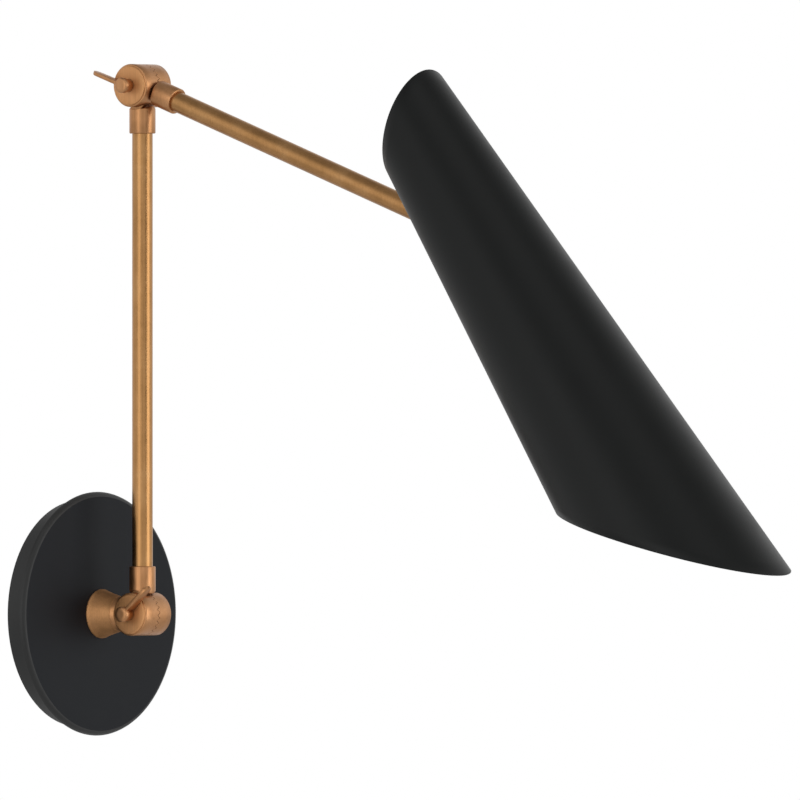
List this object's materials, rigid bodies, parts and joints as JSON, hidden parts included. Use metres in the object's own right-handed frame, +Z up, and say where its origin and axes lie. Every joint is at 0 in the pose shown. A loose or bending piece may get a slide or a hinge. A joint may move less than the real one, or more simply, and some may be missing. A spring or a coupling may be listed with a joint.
{
  "type": "articulating wall lamp",
  "caption": "Swing-arm wall lamp: round dark canopy, brass tube arms with toothed clamp knuckles and thumb levers, and a slender black tapered shade cut on a slant.",
  "frame": {"origin": "centre of the canopy's back plane on the wall", "axes": "+Z up the wall, -Y out of the wall into the room, +X to the right for someone who faces the lamp"},
  "size_m": [0.1772, 0.5824, 0.4147],
  "materials": {
    "antique_brass": "brushed",
    "canopy_paint": "satin",
    "shade_paint": "matte",
    "zinc_steel": "satin",
    "green_screw": "satin",
    "lampholder_black": "matte",
    "bulb_white": "frosted"
  },
  "bodies": {
    "wall_side": {"wall_canopy": "canopy_paint", "mounting_bar": "zinc_steel", "threaded_nipple": "zinc_steel", "lock_washer": "zinc_steel", "nipple_nut": "zinc_steel", "ground_screw": "green_screw", "wall_stem": "antique_brass", "wall_knuckle": "antique_brass"},
    "lower_arm": {"lower_arm_foot": "antique_brass", "lower_arm_head": "antique_brass", "lower_arm_tube": "antique_brass", "lower_end_cap": "antique_brass", "upper_end_cap": "antique_brass"},
    "upper_arm": {"upper_arm_foot": "antique_brass", "upper_arm_head": "antique_brass", "upper_arm_tube": "antique_brass", "shade_end_cap": "antique_brass"},
    "shade_head": {"shade_knuckle": "antique_brass", "shade_saddle": "shade_paint", "shade_shell": "shade_paint", "shade_end_plate": "shade_paint", "socket_bracket": "zinc_steel", "upper_bracket_screw": "zinc_steel", "lower_bracket_screw": "zinc_steel", "socket_nipple": "zinc_steel", "lampholder": "lampholder_black", "bulb_base": "zinc_steel", "bulb_glass": "bulb_white"},
    "lower_lever": {"lower_clamp_lever": "antique_brass", "lower_clamp_screw": "zinc_steel"},
    "upper_lever": {"upper_clamp_lever": "antique_brass", "upper_clamp_screw": "zinc_steel"},
    "shade_lever": {"shade_clamp_lever": "antique_brass", "shade_clamp_screw": "zinc_steel"}
  },
  "joints": [
    {"name": "lower_knuckle", "type": "hinge", "parent": "wall_side", "child": "lower_arm", "pos_m": [0, -0.0499, 0], "axis": [1, 0, 0], "range_deg": [0, 180]},
    {"name": "upper_knuckle", "type": "hinge", "parent": "lower_arm", "child": "upper_arm", "pos_m": [0, -0.0499, 0.326], "axis": [1, 0, 0], "range_deg": [-210, 0]},
    {"name": "shade_swivel", "type": "hinge", "parent": "upper_arm", "child": "shade_head", "pos_m": [0, -0.35812, 0.21382], "axis": [1, 0, 0], "range_deg": [-90, 90]},
    {"name": "lower_lever_turn", "type": "hinge", "parent": "lower_arm", "child": "lower_lever", "pos_m": [0, -0.0499, 0], "axis": [1, 0, 0], "range_deg": [-180, 0]},
    {"name": "upper_lever_turn", "type": "hinge", "parent": "lower_arm", "child": "upper_lever", "pos_m": [0, -0.0499, 0.326], "axis": [1, 0, 0], "range_deg": [-180, 0]},
    {"name": "shade_lever_turn", "type": "hinge", "parent": "upper_arm", "child": "shade_lever", "pos_m": [0, -0.35812, 0.21382], "axis": [1, 0, 0], "range_deg": [0, 180]}
  ]
}
